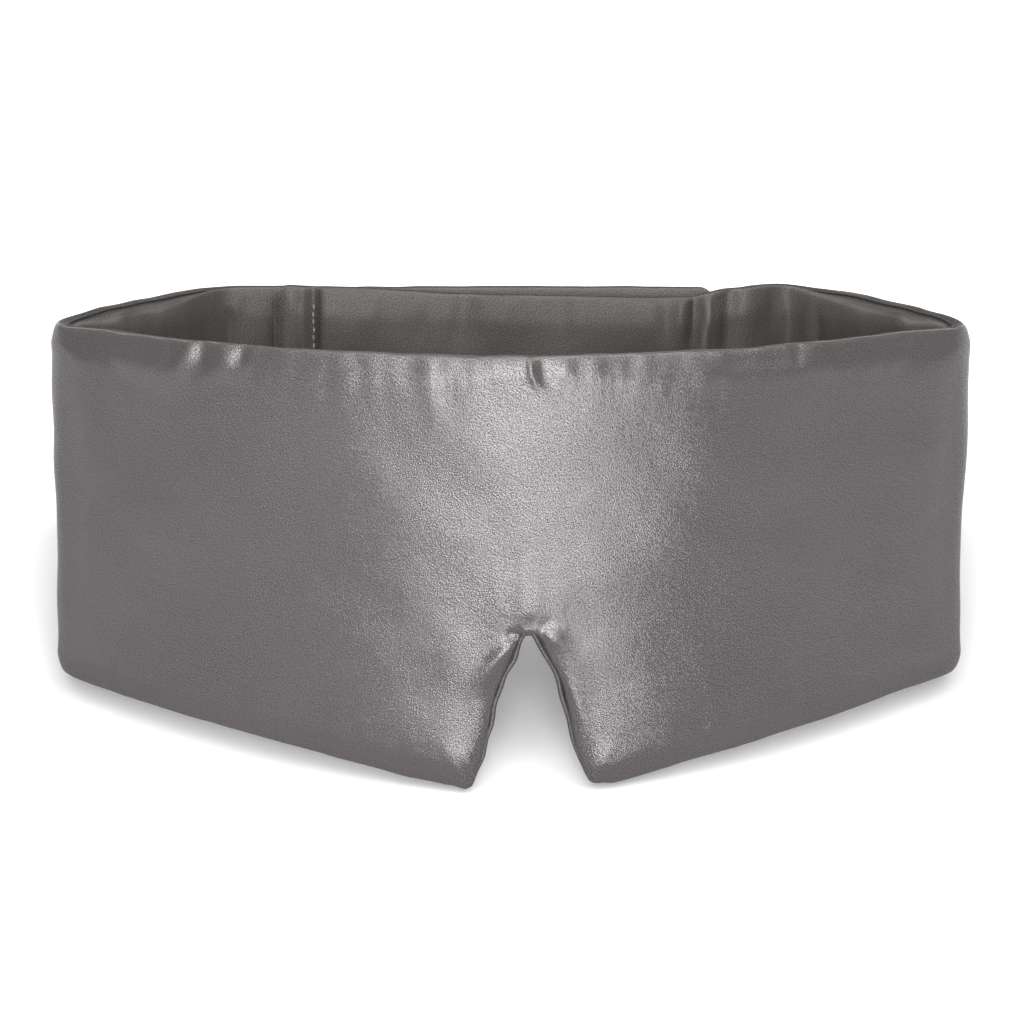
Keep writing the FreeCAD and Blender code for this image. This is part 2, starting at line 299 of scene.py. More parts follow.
# How far the upper seam stands above the mask's height, and the hem above its straight line: s and mm.
TOP_RISE = [(-340, -0.8), (-300, -0.6), (-240, -0.8), (-190, -0.4), (-155, -0.1), (-137, -1.6),
            (-118, -0.8), (118, -0.8), (137, -2), (155, -0.1), (195, 0), (205, 0.7), (214, 1.3),
            (223, 0.5), (232, -1.8), (245, -1.9), (270, -1.5), (300, -0.8), (322, 0.5), (354, 1.8)]
HEM_RISE = [(-140, 0), (-120, 0.3), (-85, 0.9), (-60, 1.3), (-38, 0.4), (-27, 0), (32, 0), (45, 0.8),
            (60, 1.4), (100, 1.5), (118, 1.7), (135, 0.6), (160, 0)]


def top(s):
    """Height of the upper seam at s."""
    return MASK_HEIGHT + np.interp(s, *zip(*TOP_RISE)) - end_rounding(s)


AWAY_FROM_NOTCH = np.clip(np.abs(PATH_S - NOTCH_X) - 17.0, 0, 4) / 4
SOFT_HEM = softened(hem(PATH_S) + np.interp(PATH_S, *zip(*HEM_RISE)) + HEM_TUCK * AWAY_FROM_NOTCH,
                    PATH_STEP, 0.6)


def hem_at(s):
    return np.interp(s, PATH_S, SOFT_HEM)


# ------ grids
ZONES = [   # name, s at its end, its body or bodies, the CAD stretch it stands for, the span it bends over
    ("hook_tab", strap_s(TAB_X + 16), ("hook_tab",), "hook_tab", ()),
    ("tab_crease", strap_s(TAB_X - 16), ("left_flap", "hook_tab"), "",
     (strap_s(TAB_X - 2), strap_s(TAB_X + 15))),
    ("closure_flap", strap_s(FLAP_X + 16), ("left_flap",), "left_flap", ()),
    ("flap_crease", strap_s(FLAP_X - 16), ("left_rear", "left_flap"), "",
     (strap_s(FLAP_X - 2), strap_s(FLAP_X + 15))),
    ("left_rear_bend", -165.0, ("left_side", "left_rear"), "left_rear", (-169.0, -215.0)),
    ("left_temple", -100.0, ("front", "left_side"), "left_side", (-112.0, -158.0)),
    ("front", 100.0, ("front",), "front", ()),
    ("right_temple", 165.0, ("front", "right_side"), "right_side", (112.0, 158.0)),
    ("right_rear_bend", 225.0, ("right_side", "right_rear"), "", (169.0, 215.0)),
    ("right_strap", RIGHT_END, ("right_rear",), "right_rear", ()),
]
NOTCH_REACH = 26.0


def columns(step, notch_step):
    """s of every grid column: even within each zone, denser round the notch and the strap ends."""
    stops = sorted([LEFT_END, *(zone[1] for zone in ZONES), NOTCH_X - NOTCH_REACH,
                    NOTCH_X + NOTCH_REACH, LEFT_END + STRAP_CORNER_R, RIGHT_END - STRAP_CORNER_R])
    values = [np.array([stops[0]])]
    for a, b in zip(stops, stops[1:]):
        middle = (a + b) / 2
        at_end = middle < LEFT_END + STRAP_CORNER_R or middle > RIGHT_END - STRAP_CORNER_R
        fine = abs(middle - NOTCH_X) < NOTCH_REACH or at_end
        count = max(1, round((b - a) / (notch_step if fine else step)))
        share = np.arange(1, count + 1) / count
        if at_end and middle < 0:
            share = 1 - np.cos(share * math.pi / 2)
        elif at_end:
            share = np.sin(share * math.pi / 2)
        values.append(a + (b - a) * share)
    return np.concatenate(values)


def rows(count):
    """Height shares from the hem to the top, denser towards both seams."""
    even = np.linspace(0, 1, count)
    return 0.25 * even + 0.75 * (0.5 - 0.5 * np.cos(math.pi * even))


def seam_line():
    """The seam as a closed line of chart points."""
    fine = np.arange(NOTCH_X - NOTCH_REACH, NOTCH_X + NOTCH_REACH, PATH_STEP)
    corner = STRAP_CORNER_R * (1 - np.cos(np.linspace(0, math.pi / 2, 24)))
    s = np.unique(np.concatenate([np.arange(LEFT_END, RIGHT_END, 1.0), fine,
                                  LEFT_END + corner, RIGHT_END - corner]))
    lower = np.stack([s, hem_at(s)], -1)
    upper = np.stack([s, top(s)], -1)[::-1]
    return np.concatenate([lower, upper, lower[:1]])


def seam_distance(s, z):
    """Distance from each chart point to the seam, and the unit way out of the pad as (s, z)."""
    line = seam_line()
    start, run = line[:-1], np.diff(line, axis=0)
    order = np.argsort(start[:, 0])
    start, run = start[order], run[order]
    flat = np.stack([s.ravel(), z.ravel()], -1)
    best = np.full(len(flat), 1e9)
    away = np.zeros_like(flat)
    for first in range(0, len(flat), 4000):
        part = flat[first:first + 4000]
        low = np.searchsorted(start[:, 0], part[:, 0].min() - EDGE_ROUND - 3)
        high = np.searchsorted(start[:, 0], part[:, 0].max() + EDGE_ROUND + 3)
        a, d = start[None, low:high], run[None, low:high]
        to = part[:, None] - a
        share = np.clip((to * d).sum(-1) / np.maximum((d * d).sum(-1), 1e-9), 0, 1)
        gap = to - share[..., None] * d
        length = np.linalg.norm(gap, axis=-1)
        pick = np.arange(len(part)), length.argmin(1)
        best[first:first + 4000] = length[pick]
        away[first:first + 4000] = -gap[pick] / np.maximum(length[pick], 1e-6)[:, None]
    best = best.reshape(s.shape)
    best[:, [0, -1]] = 0
    best[[0, -1], :] = 0
    return best, away.reshape(*s.shape, 2)


def chart_grid(step, notch_step, row_count):
    """s, z, distance to the seam and the way out to it, for every grid point."""
    column_s = columns(step, notch_step)
    s = np.repeat(column_s[:, None], row_count, 1)
    low, high = hem_at(column_s)[:, None], top(column_s)[:, None]
    z = low + (high - low) * rows(row_count)[None, :]
    return (s, z, *seam_distance(s, z))


def camber(s, z):
    """How far the middle surface stands outwards of the plan path."""
    temple = bell(np.abs(s) - TEMPLE_S, 26.0)
    left_flare = 1.2 * (1 - z / MASK_HEIGHT) * (s < 0)
    return (1.4 + left_flare) * temple


def puff(s, side):
    """Half thickness of the padding away from its edges; side is 0 outwards and 1 inwards."""
    values = np.full(np.shape(s), float(FRONT_PUFF[side]))
    for sign, strap in ((1, INNER_STRAP_PUFF), (-1, OUTER_STRAP_PUFF)):
        u = sign * s
        at_side = smooth_step(u, TEMPLE_S - 25, TEMPLE_S + 5)
        values = values + (SIDE_PUFF[side] - FRONT_PUFF[side]) * at_side
        values = values + (strap[side] - SIDE_PUFF[side]) * smooth_step(u, 185, 215)
    return values


def pillow(s, distance, side):
    """Half thickness everywhere: a rounded edge and a flat middle."""
    near_notch = bell(s - NOTCH_X, 24.0)
    share = np.clip(distance / (EDGE_ROUND * (1 - 0.5 * near_notch)), 0, 1)
    full = puff(s, side)
    groove = 1 - 0.42 * bell(STITCH_S - s, 1.4)
    return SEAM_HALF_GAP + (full * groove - SEAM_HALF_GAP) * (
        1 - (1 - share) ** EDGE_SQUARE) ** (1 / EDGE_SQUARE)


# ------ cloth simulation
SIM_SCALE = 0.01             # cloth is simulated with 100 mm as one unit
SIM_FRAMES = 20
SIM_PRESSURE = 6.0
SIM_GROWTH = -0.02           # spare cloth, which puckers along the seam
SIM_CAP = 5.0                # mm that a point may move
SIM_STEPS = (3.0, 1.2, 36)   # column step, the same at the notch, and rows


def grid_faces(column_count, row_count, first=0):
    """Quads of a grid stored column by column."""
    i, j = np.meshgrid(np.arange(column_count - 1), np.arange(row_count - 1), indexing="ij")
    a = first + i * row_count + j
    return np.stack([a, a + row_count, a + row_count + 1, a + 1], -1).reshape(-1, 4)


def simulated(s, z, distance, _):
    """Fills the pad with air pressure while its seam stays put. Returns, for each face, how far
    each point has moved along the path, outwards and up."""
    count, height = s.shape
    outer, inner = (chart_point(s, sign * 0.8 * pillow(s, distance, side), z)
                    for side, sign in ((0, 1), (1, -1)))
    size = count * height
    edge = np.pad(np.zeros((count - 2, height - 2), bool), 1, constant_values=True)
    shared = np.arange(size).reshape(count, height)
    lining = np.where(edge, shared, shared + size)
    seam = (outer + inner) / 2
    points = np.concatenate([np.where(edge[..., None], seam, outer).reshape(-1, 3),
                             inner.reshape(-1, 3)]) * SIM_SCALE
    outer_faces = grid_faces(count, height)
    inner_faces = lining.ravel()[outer_faces][:, ::-1]
    mesh = bpy.data.meshes.new("pad")
    faces = np.concatenate([outer_faces, inner_faces])
    used, packed = np.unique(faces, return_inverse=True)
    mesh.from_pydata(points[used].tolist(), [], packed.reshape(-1, 4).tolist())
    pad = placed("pad", mesh)
    pinned = pad.vertex_groups.new(name="seam")
    pinned.add(np.nonzero(np.isin(used, shared[edge]))[0].tolist(), 1.0, "REPLACE")

    cloth = pad.modifiers.new("cloth", "CLOTH")
    settings = cloth.settings
    settings.quality = 4
    settings.mass = 0.02
    settings.tension_stiffness = settings.compression_stiffness = settings.shear_stiffness = 8.0
    settings.bending_stiffness = 0.3
    settings.shrink_min = SIM_GROWTH
    settings.use_pressure = True
    settings.uniform_pressure_force = SIM_PRESSURE
    settings.vertex_group_mass = "seam"
    settings.effector_weights.gravity = 0.0
    cloth.point_cache.frame_start = 1
    cloth.point_cache.frame_end = SIM_FRAMES
    scene = bpy.context.scene
    for number in range(1, SIM_FRAMES + 1):
        scene.frame_set(number)
    posed = pad.evaluated_get(bpy.context.evaluated_depsgraph_get())
    moved = np.zeros(len(used) * 3, np.float32)
    posed.data.vertices.foreach_get("co", moved)
    moved = moved.reshape(-1, 3) / SIM_SCALE
    full = points / SIM_SCALE
    full[used] = moved
    bpy.data.objects.remove(pad)
    bpy.data.meshes.remove(mesh)
    scene.frame_set(1)

    x, y, tx, ty = plan(s)
    shifts = []
    for index, start in ((shared, outer), (lining, inner)):
        move = full[index] - start
        move *= np.where(edge, 0, 1)[..., None]
        far = np.linalg.norm(move, axis=-1, keepdims=True)
        move *= np.tanh(far / SIM_CAP) * SIM_CAP / np.maximum(far, 1e-9)
        along = move[..., 0] * tx + move[..., 1] * ty
        out = move[..., 0] * ty - move[..., 1] * tx
        shifts.append((along, out, move[..., 2]))
    return shifts


def cubic(xs, values, x):
    """Smooth interpolation along the first axis, from values at xs to values at x."""
    gaps = np.diff(xs)
    slopes = np.diff(values, axis=0) / gaps[:, None]
    before, after = gaps[:-1, None], gaps[1:, None]
    inner = (slopes[:-1] * after + slopes[1:] * before) / (before + after)
    tangents = np.concatenate([slopes[:1], inner, slopes[-1:]])
    i = np.clip(np.searchsorted(xs, x, side="right") - 1, 0, len(xs) - 2)
    gap = gaps[i][:, None]
    t = ((x - xs[i]) / gaps[i])[:, None]
    a, b, ma, mb = values[i], values[i + 1], tangents[i] * gap, tangents[i + 1] * gap
    return a + t * (ma + t * (3 * (b - a) - 2 * ma - mb + t * (2 * (a - b) + ma + mb)))


def evened(values):
    """Evens out a grid of values a little without moving its border."""
    values = values.copy()
    around = values[:-2, 1:-1] + values[2:, 1:-1] + values[1:-1, :-2] + values[1:-1, 2:]
    values[1:-1, 1:-1] = 0.5 * values[1:-1, 1:-1] + 0.125 * around
    return values


def refined(values, coarse_s, fine_s, row_count):
    """Carries a simulated grid over to the fine grid."""
    coarse_rows = rows(values.shape[1])
    columns_done = cubic(coarse_s, values, fine_s)
    return cubic(coarse_rows, columns_done.T, rows(row_count)).T


# ------ folds and waves of the cloth
OUTER, LINING = 0, 1
RANDOM = np.random.default_rng(20)


def waves(count, shortest, longest):
    """A soft random surface of plane waves, as rows of (kx, kz, phase, weight)."""
    length = RANDOM.uniform(shortest, longest, count)
    turn = RANDOM.uniform(0, math.pi, count)
    phase = RANDOM.uniform(0, 2 * math.pi, count)
    weight = length / longest
    scale = math.sqrt(2 / (weight ** 2).sum())
    k = 2 * math.pi / length
    return np.stack([k * np.cos(turn), k * np.sin(turn), phase, weight * scale], -1)


def sum_waves(table, s, z):
    """Height of the wave surface, about 1 in size."""
    total = np.zeros(np.broadcast(s, z).shape)
    for kx, kz, phase, weight in table:
        total += weight * np.sin(kx * s + kz * z + phase)
    return total


UNDULATION = {OUTER: waves(26, 16, 70), LINING: waves(26, 14, 60)}
PUCKER = {OUTER: waves(30, 4.5, 11), LINING: waves(30, 4.5, 11)}
SEAM_WANDER = waves(24, 7, 34)

# Soft folds. Each starts at full height at (s, z), fades out towards (s, z), and has a width, a
# height (above 0 stands out of the cloth, below 0 is a valley) and maybe a sideways bend, all in mm.
FOLDS = {
    OUTER: [
        (-111, 120, -106, 110, 4.4, 0.8), (-119, 121.5, -116, 117, 1, -0.6),
        (-98, 118, -103, 106, 4.8, 0.7, 0.8), (-88.4, 121, -94.5, 105, 3.2, 0.85, -1.2),
        (-85.2, 122.5, -83.8, 112.5, 1.9, -0.95), (-79, 120.5, -77.5, 110, 4.2, 0.85, 0.4),
        (-71.2, 122.8, -76, 115.5, 1.3, -1, 0.5), (-63, 122, -62, 113, 4, 0.3),
        (-42, 122, -41, 117, 1.8, -0.25), (-21.5, 122, -20, 98, 2.6, 0.4, 0.4),
        (5, 122.5, 11, 110.5, 1.2, 0.65, -1.7), (8.6, 122.5, 13.5, 112, 2.3, -0.55, -1.3),
        (14.8, 122, 16.5, 112, 2.2, 0.35, -0.8), (33, 122, 31, 114, 2.2, -0.25),
        (51, 119.5, 57, 113, 4.5, 0.45), (77.2, 122.5, 79.8, 114.5, 0.9, -0.85, 0.2),
        (82, 121.5, 85, 112, 3.4, 0.35), (100, 122, 102.5, 114, 1.8, -0.3),
        (115, 122, 117, 108, 2.6, -0.45, 0.5), (2.6, 45.6, -2.4, 44.6, 0.7, -1.3),
        (3.4, 44, -13, 24, 2.2, 0.9, -2), (1, 37, -9, 21, 1.6, -0.45, -1),
        (6.6, 45, 18.5, 41, 2.6, 0.75, 0.8), (9, 40.5, 24.5, 5, 2.2, 0.7, 1.5),
        (7.4, 45.6, 11.5, 51, 1, -0.3), (5, 45.8, 4.4, 52, 1.2, -0.2),
        (-10, 6, -16, 16, 2.2, 0.6), (20, 4, 27, 15, 2, 0.5),
        (-26, 2, -28, 9, 1.6, -0.4), (39, 2.5, 41, 10, 1.8, -0.4),
        (-52, 6, -50.5, 14, 1.8, -0.4), (66, 8.5, 64.5, 16, 1.8, -0.4),
        (-85, 12.5, -83, 21, 2, -0.45), (92, 13.5, 90, 23, 2, -0.45),
        (-118, 17, -113, 30, 2.4, -0.6), (119, 17, 113, 31, 2.6, -0.6),
    ],
    LINING: [
        (-1.5, 47, -2, 60, 2.2, 0.8), (11.5, 46, 13, 60, 2.2, 0.8), (5, 46, 5, 62, 1.8, -0.9),
        (-60, 122, -62, 106, 2.4, -0.8, 0.5), (48, 122, 50, 104, 2.4, -0.8, -0.5),
        (87, 122, 82, 96, 3, 0.9, -1), (-96, 122, -92, 92, 3, 0.9, 1),
        (226, 122.5, 229.6, 90, 1, 1.5, 0.9), (230.8, 122, 234, 92, 2, -1.1, 0.6),
        (221, 123, 223.5, 86, 3.2, -1.3), (233.6, 122, 236.6, 104, 2, 0.7, 0.6),
        (239.5, 119, 240, 104, 3.2, -0.5), (246, 119, 245, 104, 4, 0.3),
        (214, 121, 215, 88, 5, 0.5), (203, 118, 205, 80, 8, -0.6), (191, 118, 194, 90, 6, 0.8, 0.8),
        (298, 120, 297, 100, 5, -0.6), (288, 119, 290, 94, 6, 0.35), (310, 119, 308, 92, 6, 0.35),
        (271, 120, 272, 96, 7, -0.35), (258, 121, 259, 100, 6, 0.3), (326, 121, 325, 96, 6, 0.4),
        (RIGHT_END - 4.4, 124, RIGHT_END - 4.8, 30, 2.2, 1, 0.3),
    ],
}
# Pairs of folds on both temples: distance past the temple, height, and on the lining foot and width.
LINING_TEMPLE = ((15, 0.9, 88, 4.6), (24, -0.6, 92, 4.4), (34, 0.7, 96, 5), (-17, 0.7, 96, 4.6),
                 (-26, -0.45, 100, 4.4))
OUTER_TEMPLE = ((12, -0.6), (19, 0.6), (27, -0.5), (48, 0.6))
OUTER_STRAP = (              # start and end as x and z, width and height
    (-20, 122, -23, 100, 3, -0.8), (12, 122, 9, 98, 3, 0.7), (38, 122, 36, 108, 2, -0.6),
    (-52, 122, -56, 92, 4, 0.8), (-30, 31, -33, 52, 3, -0.7), (22, 31, 25, 50, 2.6, -0.7))


def add_repeated_folds():
    for x0, z0, x1, z1, width, height in OUTER_STRAP:
        FOLDS[OUTER].append((strap_s(x0), z0, strap_s(x1), z1, width, height, 0.5))
    for sign in (-1, 1):
        for past, height, foot, width in LINING_TEMPLE:
            s = sign * (TEMPLE_S + past)
            FOLDS[LINING] += [(s, 121.5, s + sign * 3, foot, width, height, 0.8 * sign),
                              (s + 2, 24, s + sign * 5, 46, width, 0.6 * height)]
        for past, height in OUTER_TEMPLE:
            s = sign * (TEMPLE_S + past)
            FOLDS[OUTER] += [(s, 122, s + sign * 4, 98, 3, height, 0.6),
                             (s, 24, s + sign * 3, 44, 3, height, 0.6)]


add_repeated_folds()


def fold_height(s, z, fold):
    """Height that one soft fold adds at each chart point."""
    s0, z0, s1, z1, width, height, bend = (*fold, 0)[:7]
    ds, dz = s1 - s0, z1 - z0
    length = math.hypot(ds, dz)
    t = np.clip(((s - s0) * ds + (z - z0) * dz) / length ** 2, 0, 1)
    side = bend * 4 * t * (1 - t)
    off_s = s - (s0 + t * ds - side * dz / length)
    off_z = z - (z0 + t * dz + side * ds / length)
    spread = width * (0.75 + 0.75 * t)
    fade = 1 - smooth_step(t, 0.25, 1.0)
    return height * fade * np.exp(-(off_s ** 2 + off_z ** 2) / spread ** 2)


def add_folds(s, z, folds):
    total = np.zeros_like(s)
    for fold in folds:
        reach = 3 * fold[4] + 3
        low, high = min(fold[0], fold[2]) - reach, max(fold[0], fold[2]) + reach
        inside = (s[:, 0] > low) & (s[:, 0] < high)
        total[inside] += fold_height(s[inside], z[inside], fold)
    return total


def tape_span(face):
    """s at both ends of the tape on this face: the hooks are on the lining, the loops on the cover."""
    s_at, ends = (strap_s, HOOK_SPAN) if face == LINING else (inner_strap_s, LOOP_SPAN)
    return s_at(ends[1]), s_at(ends[0])


def tape_hold(s, z, face):
    """1 where a tape is sewn on and the cloth stays flat, 0 away from it."""
    low, high = tape_span(face)
    outside = np.maximum(np.maximum(low - s, s - high),
                         np.maximum(REAR_RISE + TAPE_MARGIN - z, z - MASK_HEIGHT + TAPE_MARGIN))
    return 1 - smooth_step(outside, 1.5, 7.0)


def facing_strap(s, face):
    """1 where this face lies against the other strap, 0 elsewhere."""
    if face == LINING:
        return smooth_step(-s, -strap_s(INNER_STRAP_END_X - 14), -strap_s(INNER_STRAP_END_X))
    return smooth_step(s, inner_strap_s(OUTER_STRAP_END_X + 8), inner_strap_s(OUTER_STRAP_END_X))


def wrinkles(s, z, distance, face):
    """Everything drawn on top of the pillow: waves, puckers at the seam and folds."""
    near_seam = bell(distance, 5.0)
    rise = smooth_step(distance, 0, 3.0)
    swell = 0.13 + 0.17 * smooth_step(np.abs(s), 90, 150)
    height = swell * sum_waves(UNDULATION[face], s, z) * rise
    puckers = 0.09 * sum_waves(PUCKER[face], s, 0.35 * z)
    height += puckers * near_seam * smooth_step(distance, 0, 1.2)
    height += add_folds(s, z, FOLDS[face]) * smooth_step(distance, -0.5, 3.2)
    temple = bell(np.abs(s) - TEMPLE_S, 9.0)
    if face == LINING:
        height *= 1 - 0.9 * temple
    return height


def at_notch(s, z):
    """1 along the sides of the nose notch, 0 elsewhere."""
    return np.exp(-((s - NOTCH_X) / 15.5) ** 6) * (z < NOTCH_TOP + 3)


def overhang(s, z, face):
    """How far each cloth bulges past the seam, in mm. The front's cover stands higher than its
    lining; along the straps and round the back both show."""
    from_middle = np.abs(s)
    high = smooth_step(z, 60, 80)
    tucked = 0.9 * at_notch(s, z)
    if face == OUTER:
        return 1.7 + 0.8 * high * (1 - smooth_step(from_middle, 120, 150)) - tucked
    front = 1 - smooth_step(from_middle, 92, 112)
    side = smooth_step(from_middle, 138, 152) * (1 - smooth_step(from_middle, 172, 196))
    strap = smooth_step(from_middle, 180, 205)
    return 1.5 + high * (1.1 * strap - 2.3 * front - 2.0 * side) - tucked


def face_shape(s, z, distance, way, face, shift):
    """Along, outwards and up position of one face, with the simulated shift laid over the pillow."""
    base = pillow(s, distance, face)
    crown = np.exp(-((s - NOTCH_X) / 6.0) ** 2 - ((z - NOTCH_TOP) / 8.0) ** 2)
    base = base + (puff(s, face) - base) * crown * smooth_step(distance, 0, 2.2)
    along, out, up = shift
    lift = out * smooth_step(distance, 0.5, 7.0) + wrinkles(s, z, distance, face)
    facing = facing_strap(s, face)
    lift = lift * (1 - facing) + 0.45 * np.tanh(lift) * facing
    hold = tape_hold(s, z, face)
    lift *= (1 - hold) * (1 - bell(STITCH_S - s, 1.8))
    edge = smooth_step(distance, 0, 2.0)
    n = base + lift * edge
    n = np.maximum(n, SEAM_HALF_GAP)
    sign = 1 if face == OUTER else -1
    free = (1 - hold) * edge
    near = distance / OVERHANG_REACH[face]
    bulge = overhang(s, z, face) * 2.3 * near * np.exp(-near ** 2)
    calm = free * (0.15 + 0.85 * smooth_step(distance, 2.0, 10.0))
    return along * calm + way[..., 0] * bulge, sign * n, z + up * calm + way[..., 1] * bulge


SHIFT_REACH = 1.3            # mm that the filled shape may leave the drawn pillow
BROAD_COLUMNS = 6.0          # puckers narrower than this many columns are kept
FINE_STEPS = (1.25, 0.5, 92)


def wandered(s, z):
    """Small sideways wander of the whole seam, in mm of height."""
    drift = 0.11 * sum_waves(SEAM_WANDER, s, 0 * s)
    middle = (z - hem_at(s)) / np.maximum(top(s) - hem_at(s), 1)
    near_notch = bell(s - NOTCH_X, 22) * (middle < 0.5)
    return drift * (np.abs(2 * middle - 1) ** 6) * (1 - near_notch)


def filled_shift(raw, coarse, s, face):
    """Simulated shift of one face against the drawn pillow, on the fine grid."""
    along, out, up = raw
    out = (out if face == OUTER else -out) - 0.2 * pillow(coarse[0], coarse[2], face)
    kept = []
    for values in (along, out, up):
        broad = np.apply_along_axis(softened, 0, values, 1.0, BROAD_COLUMNS)
        limited = SHIFT_REACH * np.tanh((evened(values) - broad) / SHIFT_REACH)
        limited *= 0.45 + 0.35 * smooth_step(np.abs(coarse[0]), 95, 130)
        kept.append(refined(limited, coarse[0][:, 0], s[:, 0], s.shape[1]))
    return kept


def build_faces():
    """Chart grid and row-frame points of both faces at full resolution."""
    s, z, distance, way = chart_grid(*FINE_STEPS)
    coarse = chart_grid(*SIM_STEPS)
    raw = simulated(*coarse)
    shifts = [filled_shift(raw[face], coarse, s, face) for face in (OUTER, LINING)]
    points = []
    for face in (OUTER, LINING):
        along, n, height = face_shape(s, z, distance, way, face, shifts[face])
        points.append(in_frame(chart_point(s, n, height + wandered(s, z), along)))
    return s, z, distance, points


def grid_normals(points, face):
    """Smooth normals of a grid, pointing out of the padding."""
    normal = np.cross(np.gradient(points, axis=0), np.gradient(points, axis=1))
    return unit(normal if face == OUTER else -normal)


# ------ mesh helpers
UV_SCALE = 0.01              # one UV unit is 100 mm of cloth


def link(name, part, finish, shades=None, normals=None):
    """Mesh object from vertices, faces and their place on the cloth in mm, with one material."""
    vertices, faces, uv = part
    mesh = bpy.data.meshes.new(name)
    mesh.from_pydata(vertices.tolist(), [], faces.tolist())
    for label, values in (shades or {}).items():
        layer = mesh.attributes.new(label, "FLOAT", "POINT")
        layer.data.foreach_set("value", np.asarray(values, np.float32).ravel())
    layer = mesh.uv_layers.new(name="cloth")
    order = np.zeros(len(mesh.loops), np.int32)
    mesh.loops.foreach_get("vertex_index", order)
    layer.data.foreach_set("uv", np.asarray(uv * UV_SCALE, np.float32)[order].ravel())
    mesh.polygons.foreach_set("use_smooth", [True] * len(mesh.polygons))
    mesh.update()
    if normals is not None:
        mesh.normals_split_custom_set_from_vertices(normals.tolist())
    mesh.materials.append(finish)
    return placed(name, mesh)


def tube(line, radius, s, sides, uv, around):
    """An open tube along mask points at s. uv has a row for every point, and grows by around from
    each side of the tube to the next."""
    _, _, tx, ty = plan(s)
    ahead = unit(np.gradient(line, axis=0))
    across = unit(np.cross(ahead, np.stack([ty, -tx, 0 * ty], -1)))
    up = np.cross(across, ahead)
    turn = np.linspace(0, 2 * math.pi, sides, endpoint=False)
    ring = np.cos(turn)[None, :, None] * up[:, None] + np.sin(turn)[None, :, None] * across[:, None]
    radius = np.broadcast_to(radius, len(line))[:, None, None]
    points = in_frame((line[:, None] + radius * ring).reshape(-1, 3))
    i, j = np.meshgrid(np.arange(len(line) - 1), np.arange(sides), indexing="ij")
    a, b = i * sides + j, i * sides + (j + 1) % sides
    uv = np.repeat(np.stack(uv, -1), sides, 0)
    uv[:, 1] += np.tile(around * np.arange(sides), len(line))
    return points, np.stack([a, b, b + sides, a + sides], -1).reshape(-1, 4), uv


def merged(parts):
    """Joins (vertices, faces, uv) parts into one."""
    vertices, faces, uv = zip(*parts)
    firsts = np.cumsum([0] + [len(part) for part in vertices[:-1]])
    faces = [part + first for part, first in zip(faces, firsts)]
    return np.concatenate(vertices), np.concatenate(faces), np.concatenate(uv)


# ------ materials
CRINKLE_SIZE = 0.23          # mm


class Nodes:
    """Wires up a material or the world. A node's inputs are sockets or plain values."""

    def __init__(self, owner):
        owner.use_nodes = True
        self.owner = owner
        self.tree = owner.node_tree

    def add(self, kind, inputs, output=0, **settings):
        node = self.tree.nodes.new("ShaderNode" + kind)
        for key, value in settings.items():
            setattr(node, key, value)
        return self.feed(node, inputs).outputs[output]

    def feed(self, node, inputs):
        for key, value in inputs.items():
            if isinstance(value, bpy.types.NodeSocket):
                self.tree.links.new(value, node.inputs[key])
            else:
                node.inputs[key].default_value = value
        return node

    def cloth(self, stretch=1.0, turn=0.0, kind="POINT"):
        """The cloth's own coordinates, stretched across and turned."""
        uv = self.add("UVMap", {}, uv_map="cloth")
        settings = {"Vector": uv, "Scale": (1.0, stretch, 1.0), "Rotation": (0, 0, turn)}
        return self.add("Mapping", settings, vector_type=kind)

    def noise(self, vector, wavelength, detail=2.0, rough=0.5):
        """Noise whose features are about wavelength mm across."""
        return self.add("TexNoise", {"Vector": vector, "Scale": 1 / (UV_SCALE * wavelength),
                                     "Detail": detail, "Roughness": rough}, "Fac")

    def stripes(self, vector, scale, distortion=0.0, detail=2.0, direction="X"):
        return self.add("TexWave", {"Vector": vector, "Scale": scale, "Distortion": distortion,
                                    "Detail": detail}, "Fac", bands_direction=direction)

    def ramp(self, value, low, high, to_low, to_high, kind="LINEAR"):
        ends = {"Value": value, "From Min": low, "From Max": high, "To Min": to_low, "To Max": to_high}
        return self.add("MapRange", ends, interpolation_type=kind)

    def maths(self, operation, a, b):
        return self.add("Math", {0: a, 1: b}, operation=operation)

    def vector_maths(self, operation, a, b=(0.0, 0.0, 0.0), output=0):
        return self.add("VectorMath", {0: a, 1: b}, output, operation=operation)

    def painted(self, label):
        """A value painted on the mesh's points."""
        return self.add("Attribute", {}, "Fac", attribute_name=label)

    def mix(self, factor, a, b):
        return self.add("Mix", {0: factor, 6: a, 7: b}, 2, data_type="RGBA")

    def bump(self, height, strength, depth_mm, under=None):
        inputs = {"Height": height, "Strength": strength, "Distance": depth_mm * MM}
        if under:
            inputs["Normal"] = under
        return self.add("Bump", inputs)

    def done(self, **inputs):
        shader = self.tree.nodes["Principled BSDF"]
        self.feed(shader, {key.replace("_", " "): value for key, value in inputs.items()})
        return self.owner


def times(colour, factor):
    """A colour made darker or lighter."""
    return tuple(factor * c for c in colour[:3]) + (1.0,)


